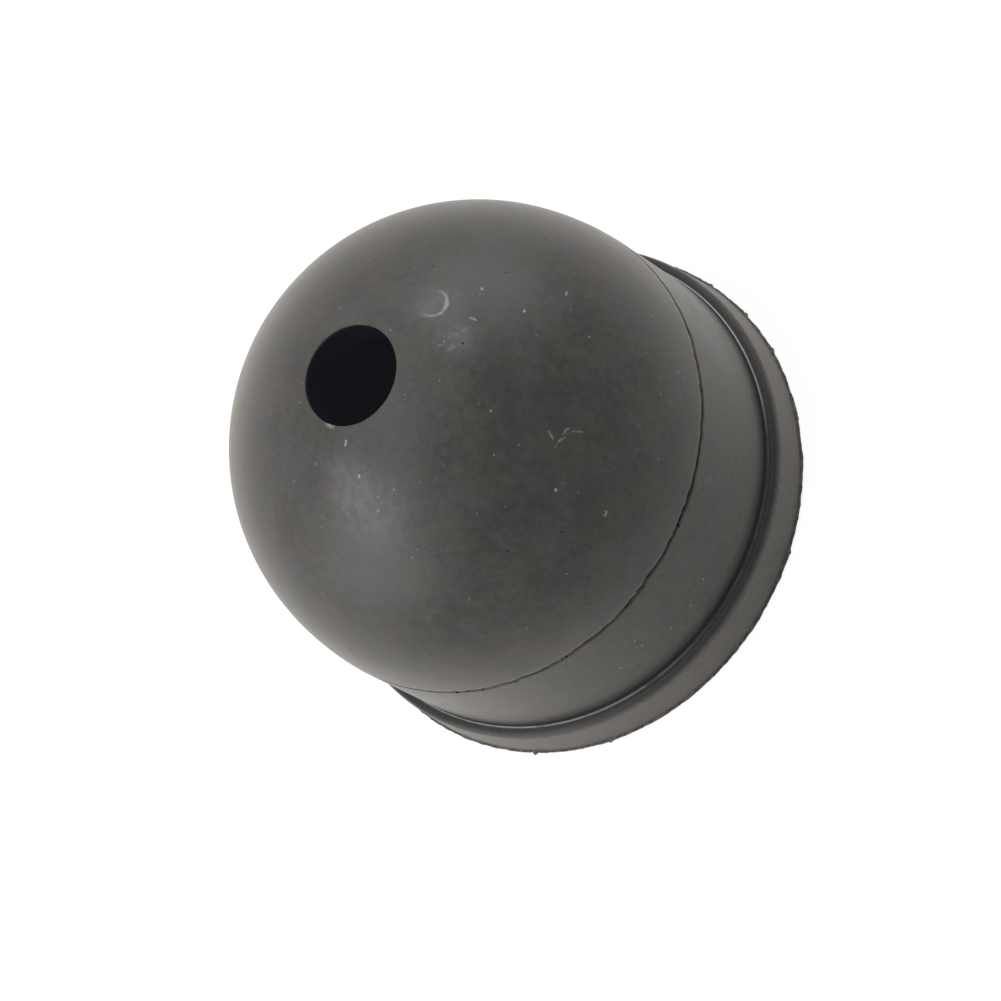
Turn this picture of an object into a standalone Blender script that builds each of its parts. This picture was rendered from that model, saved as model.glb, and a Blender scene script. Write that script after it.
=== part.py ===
import math

import bpy

# A hollow rubber ball for opening screw-back watch cases: a dome with an air hole in its crown, a short
# skirt below the joint line and a flat flanged base. Sizes are in metres, +Z is up along the turning axis
# and the origin is the middle of the underside.

# Driving dimensions
BALL_RADIUS = 0.0300
BALL_CENTRE_Z = 0.0228
WALL = 0.0045
AIR_HOLE_RADIUS = 0.0060
JOINT_GAP = 0.0003

# Joint line between the dome and the skirt
SEAM_Z = 0.0234
LIP_HEIGHT = 0.0030
LIP_WALL = 0.0023
LIP_LEAD_IN = 0.0004

# Skirt, a little wider at its foot
SKIRT_TOP_RADIUS = 0.0302
SKIRT_FOOT_RADIUS = 0.0307

# Base disc, its flange and the spigot that plugs the skirt
SHELF_Z = 0.0062
FLANGE_TOP_RADIUS = 0.0321
FLANGE_FOOT_RADIUS = 0.0325
FLANGE_ROUND = 0.0011
FOOT_BREAK = 0.0003
SPIGOT_HEIGHT = 0.0050
SPIGOT_LEAD_IN = 0.0008

# Smoothness of the turned forms
TURN_STEPS = 64
DOME_OUTER_STEPS = 22
DOME_INNER_STEPS = 15
LIP_INNER_STEPS = 3
ROUND_STEPS = 5
MERGE_DISTANCE = 0.00001

# Worked out from the sizes above
CHAMBER_RADIUS = BALL_RADIUS - WALL
RIM_Z = SEAM_Z + JOINT_GAP / 2
LEDGE_Z = SEAM_Z - JOINT_GAP / 2
LIP_TOP_Z = LEDGE_Z + LIP_HEIGHT
RABBET_ROOF_Z = LIP_TOP_Z + JOINT_GAP
SKIRT_FOOT_Z = SHELF_Z + JOINT_GAP
SPIGOT_RADIUS = CHAMBER_RADIUS - JOINT_GAP
SPIGOT_TOP_Z = SHELF_Z + SPIGOT_HEIGHT


def remove_scene_objects():
    for obj in list(bpy.data.objects):
        bpy.data.objects.remove(obj)


def rubber(name, colour, roughness):
    material = bpy.data.materials.new(name)
    material.use_nodes = True
    shader = material.node_tree.nodes["Principled BSDF"]
    shader.inputs["Base Color"].default_value = (*colour, 1.0)
    shader.inputs["Roughness"].default_value = roughness
    shader.inputs["Metallic"].default_value = 0.0
    return material


def arc(centre, radius, start, end, steps):
    """Points (r, z) along an arc, with angles measured up from the radial direction."""
    points = []
    for step in range(steps + 1):
        angle = start + (end - start) * step / steps
        points.append((centre[0] + radius * math.cos(angle), centre[1] + radius * math.sin(angle)))
    return points


def ball_arc(radius, start_z, end_z, steps):
    """An arc of a sphere that shares the ball's centre, between two heights."""
    start = math.asin((start_z - BALL_CENTRE_Z) / radius)
    end = math.asin((end_z - BALL_CENTRE_Z) / radius)
    return arc((0.0, BALL_CENTRE_Z), radius, start, end, steps)


def ball_radius_at(radius, z):
    """Distance from the axis to such a sphere at one height."""
    return math.sqrt(radius**2 - (z - BALL_CENTRE_Z) ** 2)


def ball_height_at(radius, r):
    """Height of such a sphere above the base at one distance from the axis."""
    return BALL_CENTRE_Z + math.sqrt(radius**2 - r**2)


def turned(name, outline, material, is_ring):
    """Turns an outline round the axis. It runs down the outer side; a ring's outline closes on itself."""
    vertices = [(r, 0.0, z) for r, z in outline]
    edges = [(i, i + 1) for i in range(len(outline) - 1)]
    if is_ring:
        edges.append((len(outline) - 1, 0))
    mesh = bpy.data.meshes.new(name)
    mesh.from_pydata(vertices, edges, [])
    mesh.materials.append(material)
    obj = bpy.data.objects.new(name, mesh)
    bpy.context.collection.objects.link(obj)
    screw = obj.modifiers.new("turn", "SCREW")
    screw.axis = "Z"
    screw.angle = math.tau
    screw.steps = TURN_STEPS
    screw.render_steps = TURN_STEPS
    screw.use_merge_vertices = True
    screw.merge_threshold = MERGE_DISTANCE
    screw.use_smooth_shade = True
    return obj


def dome_outline():
    """Half shell with the air hole through its crown and a rabbet inside its rim."""
    hole_top_z = ball_height_at(BALL_RADIUS, AIR_HOLE_RADIUS)
    hole_foot_z = ball_height_at(CHAMBER_RADIUS, AIR_HOLE_RADIUS)
    rabbet_radius = ball_radius_at(CHAMBER_RADIUS, LIP_TOP_Z) + LIP_WALL + JOINT_GAP
    outer = ball_arc(BALL_RADIUS, hole_top_z, RIM_Z, DOME_OUTER_STEPS)
    rabbet = [(rabbet_radius, RIM_Z), (rabbet_radius, RABBET_ROOF_Z)]
    inner = ball_arc(CHAMBER_RADIUS, RABBET_ROOF_Z, hole_foot_z, DOME_INNER_STEPS)
    return outer + rabbet + inner


def skirt_outline():
    """Tapered wall with an upstanding lip that continues the round of the chamber."""
    lip_inner = ball_radius_at(CHAMBER_RADIUS, LIP_TOP_Z)
    lip_outer = lip_inner + LIP_WALL
    outer = [
        (lip_outer - LIP_LEAD_IN, LIP_TOP_Z),
        (lip_outer, LIP_TOP_Z - LIP_LEAD_IN),
        (lip_outer, LEDGE_Z),
        (SKIRT_TOP_RADIUS, LEDGE_Z),
        (SKIRT_FOOT_RADIUS, SKIRT_FOOT_Z),
        (CHAMBER_RADIUS, SKIRT_FOOT_Z),
    ]
    inner = ball_arc(CHAMBER_RADIUS, BALL_CENTRE_Z, LIP_TOP_Z, LIP_INNER_STEPS)
    return outer + inner


def base_outline():
    """Spigot, shelf, flange with a rounded upper edge and a slight flare, and the flat underside."""
    round_centre = (FLANGE_TOP_RADIUS - FLANGE_ROUND, SHELF_Z - FLANGE_ROUND)
    spigot = [
        (0.0, SPIGOT_TOP_Z),
        (SPIGOT_RADIUS - SPIGOT_LEAD_IN, SPIGOT_TOP_Z),
        (SPIGOT_RADIUS, SPIGOT_TOP_Z - SPIGOT_LEAD_IN),
        (SPIGOT_RADIUS, SHELF_Z),
    ]
    flange = arc(round_centre, FLANGE_ROUND, math.pi / 2, 0.0, ROUND_STEPS)
    underside = [
        (FLANGE_FOOT_RADIUS, FOOT_BREAK),
        (FLANGE_FOOT_RADIUS - FOOT_BREAK, 0.0),
        (0.0, 0.0),
    ]
    return spigot + flange + underside


def main():
    remove_scene_objects()
    dome_rubber = rubber("dome_rubber", (0.046, 0.046, 0.045), 0.48)
    skirt_rubber = rubber("skirt_rubber", (0.050, 0.049, 0.047), 0.52)
    base_rubber = rubber("base_rubber", (0.056, 0.055, 0.053), 0.58)
    pieces = [
        turned("dome_shell", dome_outline(), dome_rubber, is_ring=True),
        turned("skirt_shell", skirt_outline(), skirt_rubber, is_ring=True),
        turned("base_flange", base_outline(), base_rubber, is_ring=False),
    ]
    ball = bpy.data.objects.new("friction_ball", None)
    bpy.context.collection.objects.link(ball)
    for piece in pieces:
        piece.parent = ball


main()
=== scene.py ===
import math
import bmesh
import bpy
from mathutils import Matrix, Vector, noise


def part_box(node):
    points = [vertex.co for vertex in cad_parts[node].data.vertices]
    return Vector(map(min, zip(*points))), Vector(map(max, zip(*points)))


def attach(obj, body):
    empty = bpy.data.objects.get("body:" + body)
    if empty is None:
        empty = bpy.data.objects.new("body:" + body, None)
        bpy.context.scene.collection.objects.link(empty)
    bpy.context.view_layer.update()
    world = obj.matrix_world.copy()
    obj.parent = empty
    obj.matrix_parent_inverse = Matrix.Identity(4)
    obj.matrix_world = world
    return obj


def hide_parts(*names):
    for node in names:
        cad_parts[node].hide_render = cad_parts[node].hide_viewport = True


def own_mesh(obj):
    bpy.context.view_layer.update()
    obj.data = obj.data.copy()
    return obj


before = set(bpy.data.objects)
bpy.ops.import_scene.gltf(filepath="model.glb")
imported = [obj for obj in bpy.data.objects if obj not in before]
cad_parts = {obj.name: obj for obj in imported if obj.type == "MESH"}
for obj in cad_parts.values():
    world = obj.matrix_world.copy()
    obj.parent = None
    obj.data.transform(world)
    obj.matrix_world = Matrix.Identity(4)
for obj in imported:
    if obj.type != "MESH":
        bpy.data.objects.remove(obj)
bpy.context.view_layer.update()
domeLow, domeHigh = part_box("dome_shell")
skirtLow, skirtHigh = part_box("skirt_shell")
baseLow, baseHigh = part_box("base_flange")
print("frame loaded")

# the ball that all three mouldings are turned from, in metres
ball = {
    "radius": 0.0300,
    "centre": Vector((0.0, 0.0, 0.0228)),
    "wall": 0.0045,
    "holeRadius": 0.0060,
    "jointGap": 0.0003,
    "lipWall": 0.0023,       # the skirt's lip, which stands inside the dome's rim
    "lipLeadIn": 0.0004,
}


def ballRadiusAt(radius, z):  # from the axis to a sphere about the ball's centre
    return math.sqrt(radius**2 - (z - ball["centre"].z) ** 2)


def ballHeightAt(radius, reach):  # height of such a sphere at a reach from the axis
    return ball["centre"].z + math.sqrt(radius**2 - reach**2)


chamberRadius = ball["radius"] - ball["wall"]
lipRadius = ballRadiusAt(chamberRadius, skirtHigh.z) + ball["lipWall"]

# camera, matched to the picture: the ball's turning axis leans away from the line of sight
camera = {
    "pixels": 1001,
    "sensor": 36.0,
    "lens": 107.21,
    "nearest": 0.01,
    "distance": 0.360,
    "axisTilt": math.radians(33.63),
    "axisLean": math.radians(150.93),
    "slideRight": 0.00269,
    "slideUp": -0.00623,
}


def viewAxes():
    tilt = camera["axisTilt"]
    roll = camera["axisLean"] - math.pi / 2
    toCamera = Vector((0.0, -math.sin(tilt), math.cos(tilt)))
    level = Vector((1.0, 0.0, 0.0))
    upright = Vector((0.0, math.cos(tilt), math.sin(tilt)))
    right = math.cos(roll) * level - math.sin(roll) * upright
    up = math.sin(roll) * level + math.cos(roll) * upright
    return right, up, toCamera


viewRight, viewUp, viewBack = viewAxes()
eye = ball["centre"] + camera["distance"] * viewBack
eye += camera["slideRight"] * viewRight + camera["slideUp"] * viewUp


def sightLine(pixel):
    focal = camera["lens"] / camera["sensor"] * camera["pixels"]
    middle = camera["pixels"] / 2
    across = (pixel[0] - middle) / focal
    down = (pixel[1] - middle) / focal
    return (across * viewRight - down * viewUp - viewBack).normalized()


def onBall(pixel):  # the point of the dome seen at a pixel
    ray = sightLine(pixel)
    fromCentre = eye - ball["centre"]
    half = ray.dot(fromCentre)
    reach = math.sqrt(half**2 - fromCentre.length_squared + ball["radius"] ** 2)
    return eye + ray * (-half - reach)


def onWall(pixel, radius):  # the point of an upright round wall seen at a pixel
    ray = sightLine(pixel)
    flatRay, flatEye = ray.to_2d(), eye.to_2d()
    half = flatRay.dot(flatEye) / flatRay.length_squared
    reach = math.sqrt(half**2 - (flatEye.length_squared - radius**2) / flatRay.length_squared)
    return eye + ray * (-half - reach)


def onFloor(pixel):  # the point of the base plane seen at a pixel
    ray = sightLine(pixel)
    return eye - ray * (eye.z / ray.z)


def addCamera():
    data = bpy.data.cameras.new("camera")
    data.sensor_width = camera["sensor"]
    data.lens = camera["lens"]
    data.clip_start = camera["nearest"]
    holder = bpy.data.objects.new("camera", data)
    turn = Matrix((viewRight, viewUp, viewBack)).transposed().to_4x4()
    holder.matrix_world = Matrix.Translation(eye) @ turn
    bpy.context.scene.collection.objects.link(holder)
    bpy.context.scene.camera = holder


addCamera()
bpy.context.scene.view_settings.view_transform = "Standard"
print("camera placed")


# shader maths on sockets: an expression adds its own nodes
class Signal:
    def __init__(self, sheet, socket):
        self.sheet = sheet
        self.socket = socket

    def maths(self, operation, first, second):
        return self.sheet.node("ShaderNodeMath", {"operation": operation}, {0: first, 1: second})

    def __add__(self, other):
        return self.maths("ADD", self, other)

    def __radd__(self, other):
        return self.maths("ADD", other, self)

    def __sub__(self, other):
        return self.maths("SUBTRACT", self, other)

    def __rsub__(self, other):
        return self.maths("SUBTRACT", other, self)

    def __mul__(self, other):
        return self.maths("MULTIPLY", self, other)

    def __rmul__(self, other):
        return self.maths("MULTIPLY", other, self)

    def __gt__(self, other):
        return self.maths("GREATER_THAN", self, other)

    def __abs__(self):
        return self.maths("ABSOLUTE", self, 0.0)

    def largest(self, other):
        return self.maths("MAXIMUM", self, other)

    def fade(self, start, end, low=0.0, high=1.0):  # smooth step from low to high
        ramp = {"interpolation_type": "SMOOTHSTEP", "clamp": True}
        values = {"Value": self, "From Min": start, "From Max": end, "To Min": low, "To Max": high}
        return self.sheet.node("ShaderNodeMapRange", ramp, values)


class Sheet:
    def __init__(self, tree):
        self.tree = tree
        tree.nodes.clear()

    def node(self, kind, settings=None, values=None, output=0):
        made = self.tree.nodes.new(kind)
        for name, value in (settings or {}).items():
            setattr(made, name, value)
        for name, value in (values or {}).items():
            if isinstance(value, Signal):
                self.tree.links.new(value.socket, made.inputs[name])
            else:
                made.inputs[name].default_value = value
        return Signal(self, made.outputs[output]) if made.outputs else None

    def vector(self, operation, first, second=(0.0, 0.0, 0.0), output=0):
        return self.node("ShaderNodeVectorMath", {"operation": operation}, {0: first, 1: second}, output)

    def dot(self, place, way):
        return self.vector("DOT_PRODUCT", place, tuple(way), 1)

    def distance(self, place, point):
        return self.vector("DISTANCE", place, tuple(point), 1)

    def height(self, place):
        return self.node("ShaderNodeSeparateXYZ", {}, {0: place}, 2)

    def blendColour(self, share, first, second):
        return self.node("ShaderNodeMix", {"data_type": "RGBA"}, {0: share, 6: first, 7: second}, 2)

    def grain(self, place, size, detail=2.0, rough=0.5, output=0):
        values = {"Vector": place, "Scale": 1.0 / size, "Detail": detail, "Roughness": rough}
        return self.node("ShaderNodeTexNoise", {"noise_dimensions": "3D"}, values, output)

    def jitter(self, place, size, amount):  # places shifted a little, for ragged marks
        push = self.vector("SUBTRACT", self.grain(place, size, output=1), (0.5, 0.5, 0.5))
        return self.vector("ADD", place, self.vector("MULTIPLY", push, (amount, amount, amount)))

    def stroke(self, place, start, end, width):  # a scratch between two points
        reach = end - start
        along = self.dot(self.vector("SUBTRACT", place, tuple(start)), reach)
        share = self.node("ShaderNodeClamp", {}, {"Value": along * (1.0 / reach.length_squared)})
        ends = {0: share, 4: tuple(start), 5: tuple(end)}
        nearest = self.node("ShaderNodeMix", {"data_type": "VECTOR"}, ends, 1)
        return self.vector("DISTANCE", place, nearest, 1).fade(0.0, width, 1.0, 0.0)

    def spot(self, place, point, look):  # a soft round mark
        return self.distance(place, point).fade(look["core"], look["reach"], look["level"], 0.0)

    def specks(self, place, cell, size, share, smallest=0.4):  # small spots in some of the cells
        values = {"Vector": place, "Scale": 1.0 / cell, "Randomness": 1.0}
        gap = self.node("ShaderNodeTexVoronoi", {}, values, 0)
        chance = self.node("ShaderNodeTexVoronoi", {}, values, 1)
        red = self.node("ShaderNodeSeparateColor", {}, {0: chance}, 0)
        green = self.node("ShaderNodeSeparateColor", {}, {0: chance}, 1)
        reach = green.fade(0.0, 1.0, smallest * size / cell, size / cell)
        inSpot = (reach - gap).fade(0.0, smallest * size / cell)
        return inSpot * (red > 1.0 - share)


# what the rubber of all three mouldings has in common
rubber = {
    "refraction": 1.5,
    "sheenRoughness": 0.5,
    "sheenTint": (1.0, 0.88, 0.74, 1.0),
    "cloudDetail": 4.0,
    "cloudRough": 0.65,
    "cloudEdges": (0.36, 0.64),
    "fineDetail": 3.0,
    "fineRough": 0.6,
    "fineEdges": (0.3, 0.7),
    "hueShift": (0.0, 0.05, 0.0),
    "hueDetail": 1.0,
    "hueEdges": (0.34, 0.66),
}

# painted shade: very dark matt rubber mixed in where shade falls, in the bore and chamber, the crease
# and on the shelf, and also the real dark rubber of the torn spots
shadeAndTearRubber = {
    "Base Color": (0.004, 0.004, 0.005, 1.0),
    "Roughness": 0.9,
    "Specular IOR Level": 0.0,
    # painted glow: a faint bluish emission that lifts the painted shade
    "Emission Color": (0.0062, 0.0062, 0.0088, 1.0),
    "Emission Strength": 1.0,
}

# dust, pits and torn spots on dome and skirt
wear = {
    "dustCover": 0.8,
    "dustHeight": 0.6,
    "dustRoughness": 0.2,
    "pitShift": (0.05, 0.0, 0.0),
    "pitCell": 0.0016,
    "pitSize": 0.00020,
    "pitShare": 0.35,
    "pit": (0.002, 0.002, 0.002, 1.0),
    "pitRoughness": 0.3,
    "mottleRoughness": 0.05,
    "tearCell": 0.0009,
    "tearSize": 0.00036,
    "tearShare": 0.6,
    "tearReach": (0.00025, 0.0006),   # from the joint line
    "tearDepth": 0.7,
}


def rubberSheet(name):
    material = bpy.data.materials.new(name)
    material.use_nodes = True
    sheet = Sheet(material.node_tree)
    place = sheet.node("ShaderNodeAttribute", {"attribute_name": "restPlace"}, {}, 1)
    return material, sheet, place


def mottling(sheet, place, look):  # clouds turn the rubber warm or cool, finer noise pale or dark
    fine = (rubber["fineDetail"], rubber["fineRough"])
    cloud = sheet.grain(place, look["cloudSize"], rubber["cloudDetail"], rubber["cloudRough"])
    cloud = cloud.fade(*rubber["cloudEdges"])
    mottle = sheet.grain(place, look["mottleSize"], *fine).fade(*rubber["fineEdges"])
    grain = sheet.grain(place, look["grainSize"], *fine)
    clouds, mottles, grains = look["toneShares"]
    tone = cloud * clouds + mottle * mottles + grain.fade(*rubber["fineEdges"]) * grains
    cool = sheet.blendColour(tone, look["coolDark"], look["coolPale"])
    warm = sheet.blendColour(tone, look["warmDark"], look["warmPale"])
    shifted = sheet.vector("ADD", place, rubber["hueShift"])
    hue = sheet.grain(shifted, look["cloudSize"], rubber["hueDetail"]).fade(*rubber["hueEdges"])
    return sheet.blendColour(hue, cool, warm), cloud, mottle, grain


def dustSpecks(sheet, place, look):
    return sheet.specks(place, look["dustCell"], look["dustSize"], look["dustShare"]) * look["dustLevel"]


def seamTears(sheet, place):  # torn spots beside the joint line
    gap = abs(sheet.height(place) - (domeLow.z + skirt["ledgeZ"]) / 2)
    spots = sheet.specks(place, wear["tearCell"], wear["tearSize"], wear["tearShare"])
    return spots * gap.fade(*wear["tearReach"], 1.0, 0.0)


def rubberShader(sheet, look, colour, roughness, height):
    relief = {"Strength": look["relief"], "Distance": look["reliefDepth"], "Height": height}
    normal = sheet.node("ShaderNodeBump", {}, relief)
    values = {
        "Base Color": colour,
        "Roughness": roughness,
        "Normal": normal,
        "IOR": rubber["refraction"],
        "Specular IOR Level": look["gloss"],
        "Specular Tint": look["glossTint"],
        "Sheen Weight": look["sheen"],
        "Sheen Roughness": rubber["sheenRoughness"],
        "Sheen Tint": rubber["sheenTint"],
    }
    return sheet.node("ShaderNodeBsdfPrincipled", {}, values)


def wornShader(sheet, place, look, mottled, dust, tears):  # dust and pits over the mottled rubber
    colour, cloud, mottle, grain = mottled
    shifted = sheet.vector("ADD", place, wear["pitShift"])
    pits = sheet.specks(shifted, wear["pitCell"], wear["pitSize"], wear["pitShare"]).largest(tears)
    colour = sheet.blendColour(dust * wear["dustCover"], colour, look["dust"])
    colour = sheet.blendColour(pits, colour, wear["pit"])
    spread = wear["mottleRoughness"]
    roughness = (cloud + mottle) * spread + (look["roughness"] - spread)
    roughness = roughness + dust * wear["dustRoughness"] + pits * wear["pitRoughness"]
    return rubberShader(sheet, look, colour, roughness, grain + dust * wear["dustHeight"] - pits)


# mixes the skin with the very dark rubber of the painted shade and the torn spots
def putShader(sheet, shadeAndTearShare, skin):
    shadeAndTear = sheet.node("ShaderNodeBsdfPrincipled", {}, shadeAndTearRubber)
    mixed = sheet.node("ShaderNodeMixShader", {}, {0: shadeAndTearShare, 1: skin, 2: shadeAndTear})
    sheet.node("ShaderNodeOutputMaterial", {}, {"Surface": mixed})


def arc(centre, radius, start, end, steps):  # points (r, z), angles up from the radial direction
    points = []
    for step in range(steps + 1):
        angle = math.radians(start + (end - start) * step / steps)
        points.append((centre[0] + radius * math.cos(angle), centre[1] + radius * math.sin(angle)))
    return points


def ballArc(radius, startZ, endZ, steps):
    start = math.degrees(math.asin((startZ - ball["centre"].z) / radius))
    end = math.degrees(math.asin((endZ - ball["centre"].z) / radius))
    return arc((0.0, ball["centre"].z), radius, start, end, steps)


def straight(start, end, steps):  # the points between two ends
    points = []
    for step in range(1, steps):
        share = step / steps
        points.append((start[0] + (end[0] - start[0]) * share, start[1] + (end[1] - start[1]) * share))
    return points


# one sector is spun, then doubled until it closes
turning = {"doublings": 4, "mergeDistance": 1e-6, "smoothAngle": math.radians(50.0)}


def turnOutline(outline, steps, isRing):
    mesh = bmesh.new()
    verts = [mesh.verts.new((r, 0.0, z)) for r, z in outline]
    edges = [mesh.edges.new(pair) for pair in zip(verts, verts[1:])]
    if isRing:
        edges.append(mesh.edges.new((verts[-1], verts[0])))
    sectors = 2 ** turning["doublings"]
    sector = math.tau / sectors
    axis = {"cent": (0, 0, 0), "axis": (0, 0, 1)}
    bmesh.ops.spin(mesh, geom=verts + edges, angle=sector, steps=steps // sectors, **axis)
    for _ in range(turning["doublings"]):
        copy = bmesh.ops.duplicate(mesh, geom=mesh.verts[:] + mesh.edges[:] + mesh.faces[:])
        corners = [item for item in copy["geom"] if isinstance(item, bmesh.types.BMVert)]
        bmesh.ops.rotate(mesh, verts=corners, cent=(0, 0, 0), matrix=Matrix.Rotation(sector, 3, "Z"))
        sector *= 2
    bmesh.ops.remove_doubles(mesh, verts=mesh.verts, dist=turning["mergeDistance"])
    bmesh.ops.recalc_face_normals(mesh, faces=mesh.faces)
    return mesh


def keepPiece(name, mesh, material):
    data = bpy.data.meshes.new(name)
    mesh.to_mesh(data)
    mesh.free()
    data.shade_smooth()
    data.set_sharp_from_angle(angle=turning["smoothAngle"])
    data.materials.append(material)
    # the rubber's marks follow the surface when the ball is pressed
    places = data.attributes.new("restPlace", "FLOAT_VECTOR", "POINT")
    flat = [0.0] * (3 * len(data.vertices))
    data.vertices.foreach_get("co", flat)
    places.data.foreach_set("vector", flat)
    piece = bpy.data.objects.new(name, data)
    bpy.context.scene.collection.objects.link(piece)
    return piece


def wobble(place, size):  # smooth noise from -1 to 1 over a length
    return noise.noise(place / size)


# the joint line isn't quite straight, and dome and skirt stray alike
seamWander = {
    "sway": 0.00026,
    "swaySize": 0.0050,
    "ripple": 0.00020,
    "rippleSize": 0.0014,
    "reach": 0.0022,
}


def seamPath(place, depth):  # how far the wall strays up or down, at a depth away from the joint
    flat = Vector((place.x, place.y, 0.0))
    stray = seamWander["sway"] * wobble(flat, seamWander["swaySize"])
    stray += seamWander["ripple"] * wobble(flat, seamWander["rippleSize"])
    return stray * max(0.0, 1.0 - depth / seamWander["reach"])


dome = {
    "turns": 640,
    "outerSteps": 88,
    "footSteps": 4,
    "chamberSteps": 36,
    "boreSteps": 6,
    "mouthSteps": 5,
    "mouthRound": 0.00014,   # at the air hole
    "mouthEnd": 105,         # degrees, where its round meets the ball
    "seamRound": 0.00030,
    "seamStart": -15,        # degrees, where the rim's round begins
    "skinDepth": 0.0004,     # deeper down the shell stays as turned
    "rimDepth": 0.0008,
    "rimHeight": 0.0005,
    "seamTear": 0.00018,     # torn bits that widen or narrow the joint
    "tearSize": 0.0021,
    "tearFineSize": 0.0007,
    "tearFineShare": 0.9,
    "tearLeast": -0.6,
    "seamDrop": 0.00005,     # the rim hangs a little into the joint
    "flare": 0.00018,        # the dome's rim meets the skirt flush
    "flareHeight": 0.006,
    "unevenness": 0.00003,
    "unevenSize": 0.011,
    "nickAt": (331, 423),
    "nickSize": 0.0006,
    "nickLift": 0.00028,
    "nickRagged": 0.0002,
    "nickDust": {"core": 0.0003, "reach": 0.0009, "level": 0.5},
    "coolDark": (0.0152, 0.0160, 0.0174, 1.0),
    "coolPale": (0.0350, 0.0350, 0.0352, 1.0),
    "warmDark": (0.0170, 0.0163, 0.0148, 1.0),
    "warmPale": (0.0400, 0.0375, 0.0336, 1.0),
    # colour of the painted highlights
    "hazeHighlight": (0.094, 0.088, 0.092, 1.0),
    "dust": (0.34, 0.34, 0.33, 1.0),
    "dustCell": 0.0011,
    "dustSize": 0.00014,
    "dustShare": 0.4,
    "dustLevel": 0.3,
    "toneShares": (0.40, 0.38, 0.22),   # of clouds, mottles and grain
    "cloudSize": 0.0060,
    "mottleSize": 0.0011,
    "grainSize": 0.0004,
    "raggedSize": 0.0005,
    "raggedReach": 0.0005,
    "roughness": 0.37,
    "relief": 0.5,
    "reliefDepth": 0.00006,
    "gloss": 0.23,
    "glossTint": (1.0, 0.985, 0.960, 1.0),
    "sheen": 0.17,
    "shadeDepth": (0.0001, 0.0005),       # painted shade below the outer skin, in the bore, the chamber and under the rim
    "ringScuff": {
        "at": (432, 303),
        "radius": 0.00175,
        "width": 0.00032,
        "raggedSize": 0.0012,
        "raggedReach": 0.0004,
        "leanDown": 0.7,
        "opens": (-0.5, 0.9),           # in radii, from the worn off side to the clear side
        "patches": (0.6, 0.6),
        "level": 0.65,
    },
    "scratches": {
        "width": 0.00017,
        "patches": (0.1, 0.6),
        "levels": (0.2, 0.5),
        "ends": [
            ((549, 432), (553, 439)), ((556, 446), (562, 438)), ((563, 434), (568, 429)),
            ((573, 431), (582, 432)), ((565, 438), (560, 441)),
        ],
    },
    "smear": {
        "width": 0.00040,
        "level": 0.18,
        "ends": [((440, 345), (470, 326)), ((446, 351), (462, 343)), ((452, 333), (472, 329))],
    },
    "dashes": {
        "width": 0.00026,
        "level": 0.65,
        "ends": [
            ((471, 318), (475, 320)), ((566, 295), (567, 292)),
            ((345, 445), (346, 441)), ((605, 515), (606, 512)),
        ],
    },
    "brightSpots": {
        "core": 0.00005,
        "reach": 0.00026,
        "level": 0.9,
        "at": [(482, 289), (524, 311), (359, 476), (556, 490)],
    },
    "faintSpots": {
        "core": 0.0,
        "reach": 0.00022,
        "level": 0.45,
        "at": [
            (512, 233), (503, 208), (603, 262), (589, 337), (646, 343), (653, 316),
            (678, 372), (491, 411), (494, 455), (316, 464), (378, 497), (378, 511),
            (348, 514), (294, 482), (394, 490), (391, 330), (300, 402), (480, 295),
        ],
    },
    # painted highlights: soft pale patches over the dome
    "hazeHighlightLevel": 0.5,
    "hazeHighlightCore": 0.1,
    "hazeHighlightPatches": 0.60,
    "hazeHighlights": [((372, 512), 0.0068), ((436, 306), 0.0046), ((458, 338), 0.0036), ((345, 480), 0.0048)],
}


def domeHazeHighlights(sheet, place, look, mottle):  # painted highlights: pale soft patches, patchy with the mottling
    highlights = 0.0
    for pixel, reach in look["hazeHighlights"]:
        cloudy = {"core": look["hazeHighlightCore"] * reach, "reach": reach, "level": look["hazeHighlightLevel"]}
        highlights = sheet.spot(place, onBall(pixel), cloudy) + highlights
    return highlights * mottle.fade(0.0, 1.0, look["hazeHighlightPatches"], 1.0)


def ringScuff(sheet, place, scuff, mottle):  # a worn ring, clear on one side only
    middle = onBall(scuff["at"])
    ragged = sheet.jitter(place, scuff["raggedSize"], scuff["raggedReach"])
    ring = abs(sheet.distance(ragged, middle) - scuff["radius"]).fade(0.0, scuff["width"], 1.0, 0.0)
    lean = (viewRight - scuff["leanDown"] * viewUp).normalized()
    side = sheet.dot(sheet.vector("SUBTRACT", place, tuple(middle)), lean)
    worn, clear = scuff["opens"]
    ring = ring * side.fade(worn * scuff["radius"], clear * scuff["radius"])
    reach, least = scuff["patches"]
    return ring * mottle.fade(0.0, reach, least, 1.0) * scuff["level"]


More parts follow.
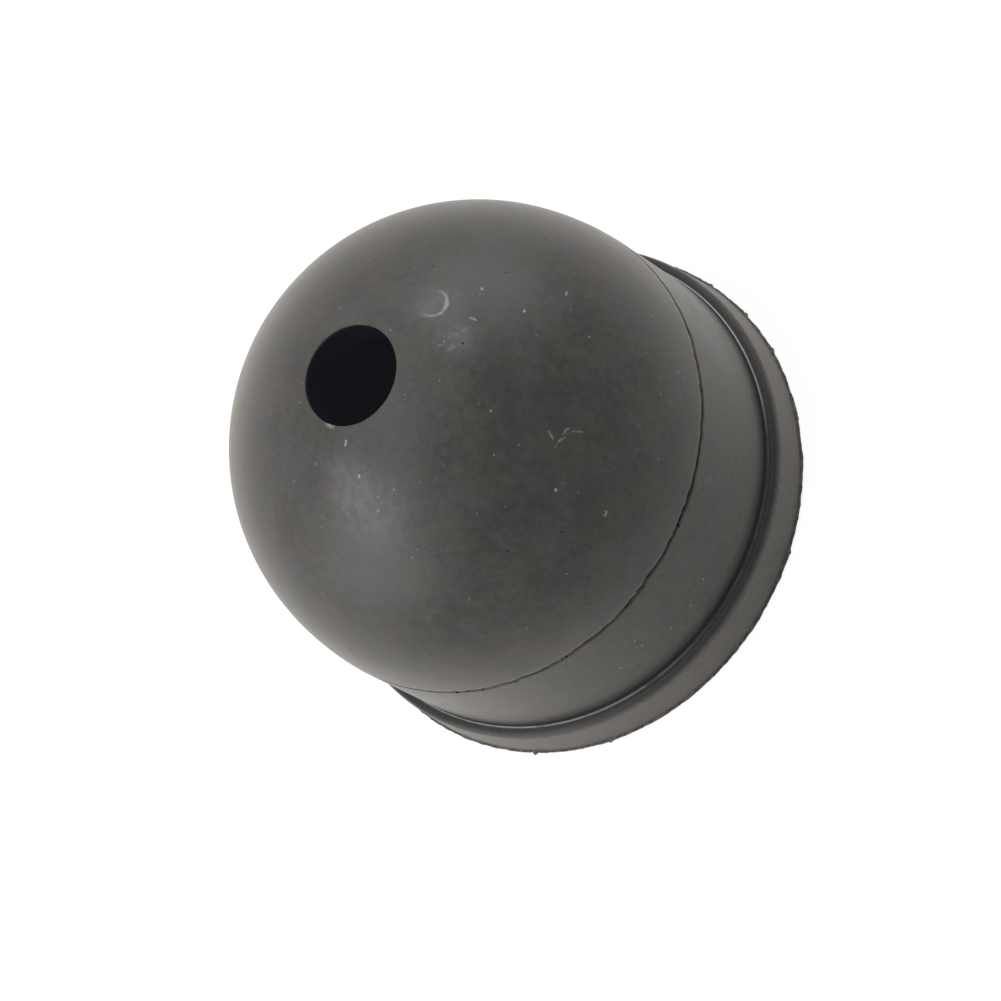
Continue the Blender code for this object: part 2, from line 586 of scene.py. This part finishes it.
def domeRubber(look):
    material, sheet, place = rubberSheet("domeRubber")
    colour, cloud, mottle, grain = mottling(sheet, place, look)
    # painted highlights
    colour = sheet.blendColour(domeHazeHighlights(sheet, place, look, mottle), colour, look["hazeHighlight"])
    ragged = sheet.jitter(place, look["raggedSize"], look["raggedReach"])
    dust = dustSpecks(sheet, ragged, look).largest(ringScuff(sheet, place, look["ringScuff"], mottle))
    scratches = look["scratches"]
    strengths = {
        "scratches": mottle.fade(*scratches["patches"], *scratches["levels"]),
        "smear": mottle * look["smear"]["level"],
        "dashes": look["dashes"]["level"],
    }
    for kind, strength in strengths.items():
        for start, end in look[kind]["ends"]:
            mark = sheet.stroke(ragged, onBall(start), onBall(end), look[kind]["width"])
            dust = dust.largest(mark * strength)
    for spots in (look["brightSpots"], look["faintSpots"]):
        for pixel in spots["at"]:
            dust = dust.largest(sheet.spot(ragged, onBall(pixel), spots))
    dust = dust.largest(sheet.spot(place, onBall(look["nickAt"]), look["nickDust"]) * mottle)
    tears = seamTears(sheet, place)
    skin = wornShader(sheet, place, look, (colour, cloud, mottle, grain), dust, tears)
    depth = ball["radius"] - sheet.distance(place, ball["centre"])
    # painted shade in the bore and chamber, with the dark torn spots by the joint
    putShader(sheet, depth.fade(*look["shadeDepth"]).largest(tears * wear["tearDepth"]), skin)
    return material


def makeDome(look):
    radius = ball["radius"]
    hole = ball["holeRadius"]
    soft = look["mouthRound"]
    seam = look["seamRound"]
    mouthZ = ballHeightAt(radius, hole + soft)
    boreFootZ = ballHeightAt(chamberRadius, hole)
    rabbetRadius = lipRadius + ball["jointGap"]
    roofZ = skirtHigh.z + ball["jointGap"]
    outer = ballArc(radius, mouthZ, domeLow.z + seam, look["outerSteps"])
    footCentre = (outer[-1][0] - seam, domeLow.z + seam)
    foot = arc(footCentre, seam, look["seamStart"], -90, look["footSteps"])
    rabbet = [(rabbetRadius, domeLow.z), (rabbetRadius, roofZ)]
    chamber = ballArc(chamberRadius, roofZ, boreFootZ, look["chamberSteps"])
    bore = straight((hole, boreFootZ), (hole, mouthZ - soft), look["boreSteps"])
    mouth = arc((hole + soft, mouthZ - soft), soft, 180, look["mouthEnd"], look["mouthSteps"])
    mesh = turnOutline(outer + foot + rabbet + chamber + bore + mouth, look["turns"], True)
    nick = onBall(look["nickAt"])
    for vert in mesh.verts:
        fromCentre = vert.co - ball["centre"]
        aboveRim = vert.co.z - domeLow.z
        if fromCentre.length < radius - look["skinDepth"] and aboveRim > look["skinDepth"]:
            continue
        lift = look["unevenness"] * wobble(vert.co, look["unevenSize"])
        lift += look["flare"] * max(0.0, 1.0 - aboveRim / look["flareHeight"]) ** 2
        near = (vert.co - nick).length / look["nickSize"]
        if near < 1.0:
            lift += look["nickLift"] * (1.0 - near) ** 2 * (1.0 + wobble(vert.co, look["nickRagged"]))
        stray = 0.0
        if fromCentre.length > radius - look["rimDepth"]:
            stray = seamPath(vert.co, aboveRim)
            if aboveRim < look["rimHeight"]:
                tear = wobble(vert.co, look["tearSize"])
                tear += look["tearFineShare"] * wobble(vert.co, look["tearFineSize"])
                stray += look["seamTear"] * max(tear, look["tearLeast"]) - look["seamDrop"]
        vert.co += fromCentre.normalized() * lift
        vert.co.z += stray
    return keepPiece("domeSkin", mesh, domeRubber(look))


skirt = {
    "turns": 640,
    "edgeSteps": 5,
    "wallSteps": 60,
    "heelSteps": 3,
    "boreSteps": 12,
    "chamberSteps": 8,
    "topRadius": 0.0302,
    "topRound": 0.00028,
    "ledgeZ": 0.02325,
    "footRadius": 0.0307,
    "footRound": 0.00010,
    "skinDepth": 0.0004,     # deeper in the wall stays as turned
    "edgeHeight": 0.0004,
    "edgeRise": 0.00004,     # the upper edge swells a little into the joint
    "unevenness": 0.00003,
    "unevenSize": 0.010,
    "coolDark": (0.0128, 0.0127, 0.0122, 1.0),
    "coolPale": (0.0392, 0.0380, 0.0350, 1.0),
    "warmDark": (0.0138, 0.0131, 0.0118, 1.0),
    "warmPale": (0.0428, 0.0398, 0.0344, 1.0),
    "dust": (0.34, 0.33, 0.31, 1.0),
    "dustCell": 0.0011,
    "dustSize": 0.00014,
    "dustShare": 0.45,
    "dustLevel": 0.3,
    "toneShares": (0.36, 0.36, 0.28),
    "cloudSize": 0.0055,
    "mottleSize": 0.0014,
    "grainSize": 0.0006,
    "roughness": 0.36,
    "relief": 0.45,
    "reliefDepth": 0.00006,
    "gloss": 0.21,
    "glossTint": (1.0, 0.965, 0.910, 1.0),
    "sheen": 0.10,
    "shadeDepth": (0.0009, 0.0005),
    # painted shade: darker towards the foot and darker still in the crease
    "footShadeHeight": 0.0034,
    "footShadeLevel": 0.53,
    "creaseShadeHeights": (0.0004, 0.0019),
    "creaseShadeLevel": 0.71,
    "spotWall": 0.03045,
    "spots": {
        "core": 0.00004,
        "reach": 0.00024,
        "level": 0.6,
        "at": [
            (703, 579), (690, 605), (703, 617), (671, 627),
            (635, 641), (642, 646), (626, 643), (621, 668),
        ],
    },
}


def skirtRubber(look):
    material, sheet, place = rubberSheet("skirtRubber")
    mottled = mottling(sheet, place, look)
    dust = dustSpecks(sheet, place, look)
    for pixel in look["spots"]["at"]:
        dust = dust.largest(sheet.spot(place, onWall(pixel, look["spotWall"]), look["spots"]))
    tears = seamTears(sheet, place)
    skin = wornShader(sheet, place, look, mottled, dust, tears)
    # painted shade inside the wall, towards the foot and in the crease, with the dark torn spots by the
    # joint
    around = sheet.vector("LENGTH", sheet.vector("MULTIPLY", place, (1.0, 1.0, 0.0)), output=1)
    deep, shallow = look["shadeDepth"]
    inside = around.fade(look["topRadius"] - deep, look["topRadius"] - shallow, 1.0, 0.0)
    aboveFoot = sheet.height(place) - skirtLow.z
    footShade = aboveFoot.fade(0.0, look["footShadeHeight"], look["footShadeLevel"], 0.0)
    crease = aboveFoot.fade(*look["creaseShadeHeights"], look["creaseShadeLevel"], 0.0)
    shadeAndTearShare = inside.largest(footShade).largest(crease).largest(tears * wear["tearDepth"])
    putShader(sheet, shadeAndTearShare, skin)
    return material


def makeSkirt(look):
    top = look["topRound"]
    heelRound = look["footRound"]
    ledge = look["ledgeZ"]
    leadIn = ball["lipLeadIn"]
    lip = [(lipRadius - leadIn, skirtHigh.z), (lipRadius, skirtHigh.z - leadIn), (lipRadius, ledge)]
    edge = arc((look["topRadius"] - top, ledge - top), top, 90, 0, look["edgeSteps"])
    heelCentre = (look["footRadius"] - heelRound, skirtLow.z + heelRound)
    heel = arc(heelCentre, heelRound, 0, -90, look["heelSteps"])
    wall = straight(edge[-1], heel[0], look["wallSteps"])
    boreFoot = (chamberRadius, skirtLow.z)
    chamber = ballArc(chamberRadius, ball["centre"].z, skirtHigh.z, look["chamberSteps"])
    bore = [boreFoot] + straight(boreFoot, chamber[0], look["boreSteps"])
    mesh = turnOutline(lip + edge + wall + heel + bore + chamber, look["turns"], True)
    for vert in mesh.verts:
        flat = Vector((vert.co.x, vert.co.y, 0.0))
        if flat.length < look["topRadius"] - look["skinDepth"]:
            continue
        vert.co += flat.normalized() * look["unevenness"] * wobble(vert.co, look["unevenSize"])
        vert.co.z += seamPath(vert.co, ledge - vert.co.z)
        if vert.co.z > ledge - look["edgeHeight"]:
            vert.co.z += look["edgeRise"]
    return keepPiece("skirtWall", mesh, skirtRubber(look))


base = {
    "turns": 1440,
    "cornerSteps": 8,
    "edgeSteps": 10,
    "wallSteps": 16,
    "finSteps": 4,
    "shelfZ": 0.0062,
    "spigotRadius": 0.0252,
    "spigotLeadIn": 0.0008,
    "seatInset": 0.0012,     # under the skirt the shelf rises to the fillet
    "seatEnd": 0.0002,
    "seatRise": 0.4,
    "fillet": 0.00042,
    "topRadius": 0.0321,
    "topRound": 0.0011,
    "footRadius": 0.0325,
    "footBreak": 0.0003,
    "underRings": (0.0315, 0.030, 0.020, 0.010, 0.0),
    "flashZ": 0.00035,       # middle height of the trimmed flash
    "flashThick": 0.00022,
    "flashLead": 2.2,        # in half thicknesses, where the wall turns into the flash
    "flashLean": 0.4,
    "flashTip": 60,          # degrees, half the round of its tip
    "flashDepth": 0.0001,
    "flashReach": 0.00022,
    "flashMean": 0.35,
    "flashWaves": [(0.42, 0.0024), (0.36, 0.0009), (0.2, 0.0004)],   # share and length
    "flashLeast": -0.2,
    "nibWidth": 0.00045,
    "nibs": [
        ((537, 752), 0.00036), ((651, 251), 0.00016), ((712, 287), 0.00022), ((745, 318), 0.00026),
        ((772, 352), 0.00022), ((797, 420), 0.00016), ((789, 553), 0.00020), ((612, 741), 0.00018),
    ],
    "unevenness": 0.00004,
    "unevenSize": 0.008,
    "coolDark": (0.0300, 0.0297, 0.0290, 1.0),
    "coolPale": (0.0600, 0.0582, 0.0550, 1.0),
    "warmDark": (0.0320, 0.0302, 0.0278, 1.0),
    "warmPale": (0.0660, 0.0616, 0.0560, 1.0),
    "dust": (0.34, 0.33, 0.31, 1.0),
    "dustCell": 0.0010,
    "dustSize": 0.00014,
    "dustShare": 0.45,
    "dustLevel": 0.4,
    "toneShares": (0.40, 0.38, 0.22),
    "cloudSize": 0.0050,
    "mottleSize": 0.0008,
    "grainSize": 0.0003,
    "roughness": 0.50,
    "mottleRoughness": 0.08,
    "relief": 0.5,
    "reliefDepth": 0.00008,
    "gloss": 0.36,
    "glossTint": (1.0, 0.975, 0.940, 1.0),
    "sheen": 0.16,
    # painted shade on the shelf beside the skirt
    "shelfShade": 0.67,
    "shelfEdges": (-0.0007, -0.0001),
    # painted highlight: a pale bluish line in the crease, brighter towards one side of the base and
    # fainter towards another
    "creaseHighlight": (0.100, 0.108, 0.121, 1.0),
    "creaseHighlightBright": (0.250, 0.265, 0.295, 1.0),
    "shelfRoughness": 0.25,
    "creaseHighlightFoot": (0.00004, 0.00010),     # heights above the shelf
    "creaseHighlightTop": (0.00020, 0.00029),
    "creaseHighlightFadesAt": (745, 565),
    "creaseHighlightFades": (0.76, 0.97),
    "creaseHighlightFaint": 0.25,
    "creaseHighlightBrightAt": (725, 320),
    "creaseHighlightBrightens": (0.80, 0.97),
    "creaseHighlightPatches": (0.6, 0.35),
    # painted shade under the ragged bottom edge, in patches
    "trim": (0.006, 0.006, 0.006, 1.0),
    "edgeShadeTop": (0.0004, 0.0008),
    "edgeShadeFoot": (0.0, 0.0001),
    "edgeShadePatches": (0.3, 0.6),
}


def creaseHighlightAlong(sheet, place, pixel, stops, low, high):  # how the painted highlight changes round the base, towards a pixel
    corner = skirt["footRadius"]
    along = sheet.dot(place, onFloor(pixel).normalized())
    return along.fade(stops[0] * corner, stops[1] * corner, low, high)


def baseRubber(look):
    material, sheet, place = rubberSheet("baseRubber")
    colour, cloud, mottle, grain = mottling(sheet, place, look)
    height = sheet.height(place)
    aboveShelf = height - look["shelfZ"]
    onShelf = aboveShelf.fade(*look["shelfEdges"])
    # painted highlight along the crease, fainter and brighter round the base
    highlightDimming = creaseHighlightAlong(sheet, place, look["creaseHighlightFadesAt"], look["creaseHighlightFades"], 1.0, look["creaseHighlightFaint"])
    highlightBrightening = creaseHighlightAlong(sheet, place, look["creaseHighlightBrightAt"], look["creaseHighlightBrightens"], 0.0, 1.0)
    reach, least = look["creaseHighlightPatches"]
    patchy = cloud.fade(0.0, reach, least, 1.0).largest(highlightBrightening)
    creaseHighlight = aboveShelf.fade(*look["creaseHighlightFoot"]) * aboveShelf.fade(*look["creaseHighlightTop"], 1.0, 0.0)
    creaseHighlight = creaseHighlight * highlightDimming * patchy
    dust = dustSpecks(sheet, place, look) * (1.0 - onShelf)
    colour = sheet.blendColour(dust, colour, look["dust"])
    # painted shade under the ragged bottom edge
    edgeShade = height.fade(*look["edgeShadeTop"], 1.0, 0.0) * height.fade(*look["edgeShadeFoot"])
    colour = sheet.blendColour(edgeShade * mottle.fade(*look["edgeShadePatches"]), colour, look["trim"])
    colour = sheet.blendColour(creaseHighlight, colour, sheet.blendColour(highlightBrightening, look["creaseHighlight"], look["creaseHighlightBright"]))
    roughness = onShelf * (look["shelfRoughness"] - look["roughness"]) + look["roughness"]
    roughness = roughness + mottle * look["mottleRoughness"]
    skin = rubberShader(sheet, look, colour, roughness, (grain + dust) * (1.0 - onShelf))
    # painted shade on the shelf, except along the painted highlight
    putShader(sheet, onShelf * (1.0 - creaseHighlight) * look["shelfShade"], skin)
    return material


def makeBase(look):
    shelf = look["shelfZ"]
    fillet = look["fillet"]
    corner = skirt["footRadius"]
    topRound = look["topRound"]
    footRadius = look["footRadius"]
    flash = look["flashZ"]
    half = look["flashThick"] / 2
    lean = look["flashLean"] * half
    spigotRadius = look["spigotRadius"]
    leadIn = look["spigotLeadIn"]
    spigot = [(0.0, baseHigh.z), (spigotRadius - leadIn, baseHigh.z)]
    spigot += [(spigotRadius, baseHigh.z - leadIn), (spigotRadius, shelf)]
    seat = [(corner - look["seatInset"], shelf)]
    seat += [(corner - look["seatEnd"], shelf + fillet * look["seatRise"])]
    crease = arc((corner + fillet, shelf + fillet), fillet, 180, 270, look["cornerSteps"])
    edgeCentre = (look["topRadius"] - topRound, shelf - topRound)
    edge = arc(edgeCentre, topRound, 90, 0, look["edgeSteps"])
    wallFoot = (footRadius, flash + look["flashLead"] * half)
    wall = straight(edge[-1], wallFoot, look["wallSteps"])
    fin = [wallFoot, (footRadius + lean, flash + half)]
    fin += arc((footRadius + half, flash), half, look["flashTip"], -look["flashTip"], look["finSteps"])
    fin += [(footRadius - lean, flash - half), (footRadius - look["footBreak"], baseLow.z)]
    under = [(ring, baseLow.z) for ring in look["underRings"]]
    mesh = turnOutline(spigot + seat + crease + edge + wall + fin + under, look["turns"], False)
    nibs = [(onFloor(pixel).to_2d().normalized(), reach) for pixel, reach in look["nibs"]]
    for vert in mesh.verts:
        flat = Vector((vert.co.x, vert.co.y, 0.0))
        if flat.length < corner + fillet:
            continue
        way = flat.normalized()
        lift = look["unevenness"] * wobble(vert.co, look["unevenSize"])
        onFin = max(0.0, 1.0 - abs(vert.co.z - flash) / look["flashThick"])
        if onFin > 0.0 and flat.length > footRadius - look["flashDepth"]:
            trim = way * footRadius
            ragged = look["flashMean"]
            for share, size in look["flashWaves"]:
                ragged += share * wobble(trim, size)
            for side, reach in nibs:
                gap = (way.to_2d() - side).length * footRadius / look["nibWidth"]
                ragged += max(0.0, 1.0 - gap) * reach / look["flashReach"]
            lift += onFin * look["flashReach"] * max(ragged, look["flashLeast"])
        vert.co += way * lift
    return keepPiece("baseDisc", mesh, baseRubber(look))


domeSkin = makeDome(dome)
skirtWall = makeSkirt(skirt)
baseDisc = makeBase(base)
print("pieces made")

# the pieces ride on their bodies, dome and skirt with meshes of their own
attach(domeSkin, "dome")
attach(skirtWall, "base")
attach(baseDisc, "base")
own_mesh(domeSkin)
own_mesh(skirtWall)
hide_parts("dome_shell")
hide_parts("skirt_shell")
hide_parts("base_flange")
print("pieces ride on their bodies")

studio = {
    "white": (1.0, 1.0, 1.0, 1.0),
    "floorSize": 3.0,
    "floorDrop": 0.0001,
    "floorColour": (0.86, 0.86, 0.86, 1.0),
    "whiteLevel": 1.03,
    "shadowShare": 0.12,     # how much of the shaded floor shows through the white, near the ball
    "shadowReach": (0.1, 0.3),
    "worldLevel": 0.20,
    "lampDistance": 0.7,
    "lampSize": 0.6,
    "lamps": {               # right, up and back as the camera sees them
        "front": {"from": (-0.70, 0.0, 0.75), "watts": 1.8},
        "highFront": {"from": (-0.50, 0.50, 0.75), "watts": 1.3},
        "lowFront": {"from": (-0.50, -0.50, 0.75), "watts": 1.3},
        "above": {"from": (0.0, 1.0, 0.30), "watts": 2.7},
        "lowLeft": {"from": (-0.70, -0.70, 0.30), "watts": 3.2},
        "highLeft": {"from": (-0.70, 0.70, 0.30), "watts": 1.1},
        "farLeft": {"from": (-1.0, 0.0, 0.25), "watts": 0.6},
    },
}


def seenDirectly(sheet):  # rays that show the surroundings, to the camera or in a reflection
    seen = 0.0
    for kind in ("Is Camera Ray", "Is Glossy Ray", "Is Transmission Ray"):
        seen = sheet.node("ShaderNodeLightPath", {}, {}, kind) + seen
    return seen.fade(0.0, 1.0)


def addFloor(look):
    mesh = bmesh.new()
    bmesh.ops.create_grid(mesh, x_segments=2, y_segments=2, size=look["floorSize"] / 2)
    data = bpy.data.meshes.new("studioFloor")
    mesh.to_mesh(data)
    mesh.free()
    data.transform(Matrix.Translation((0.0, 0.0, -look["floorDrop"])))
    floor = bpy.data.objects.new("studioFloor", data)
    bpy.context.scene.collection.objects.link(floor)
    material = bpy.data.materials.new("studioFloor")
    material.use_nodes = True
    sheet = Sheet(material.node_tree)
    shaded = sheet.node("ShaderNodeBsdfDiffuse", {}, {"Color": look["floorColour"]})
    white = sheet.node("ShaderNodeEmission", {}, {"Strength": look["whiteLevel"]})
    fromBall = sheet.vector("LENGTH", sheet.node("ShaderNodeTexCoord", {}, {}, "Object"), output=1)
    share = fromBall.fade(*look["shadowReach"], look["shadowShare"], 0.0)
    seen = seenDirectly(sheet) * (1.0 - share)
    upper = sheet.node("ShaderNodeMixShader", {}, {0: seen, 1: shaded, 2: white})
    under = sheet.node("ShaderNodeBsdfTransparent")
    isUnder = sheet.node("ShaderNodeNewGeometry", {}, {}, "Backfacing")
    mixed = sheet.node("ShaderNodeMixShader", {}, {0: isUnder, 1: upper, 2: under})
    sheet.node("ShaderNodeOutputMaterial", {}, {"Surface": mixed})
    data.materials.append(material)


def addWorld(look):
    world = bpy.data.worlds.new("studio")
    bpy.context.scene.world = world
    world.use_nodes = True
    sheet = Sheet(world.node_tree)
    white = sheet.node("ShaderNodeBackground", {}, {"Color": look["white"], "Strength": 1.0})
    dimmed = {"Color": look["white"], "Strength": look["worldLevel"]}
    room = sheet.node("ShaderNodeBackground", {}, dimmed)
    mixed = sheet.node("ShaderNodeMixShader", {}, {0: seenDirectly(sheet), 1: room, 2: white})
    sheet.node("ShaderNodeOutputWorld", {}, {"Surface": mixed})


def addLamps(look):
    for name, lamp in look["lamps"].items():
        right, up, back = lamp["from"]
        way = (right * viewRight + up * viewUp + back * viewBack).normalized()
        data = bpy.data.lights.new(name, "AREA")
        data.shape = "DISK"
        data.size = look["lampSize"]
        data.energy = lamp["watts"]
        holder = bpy.data.objects.new(name, data)
        place = Matrix.Translation(ball["centre"] + way * look["lampDistance"])
        turn = way.to_track_quat("Z", "Y").to_matrix().to_4x4()
        holder.matrix_world = place @ turn
        bpy.context.scene.collection.objects.link(holder)


addFloor(studio)
addWorld(studio)
addLamps(studio)
print("studio lit")
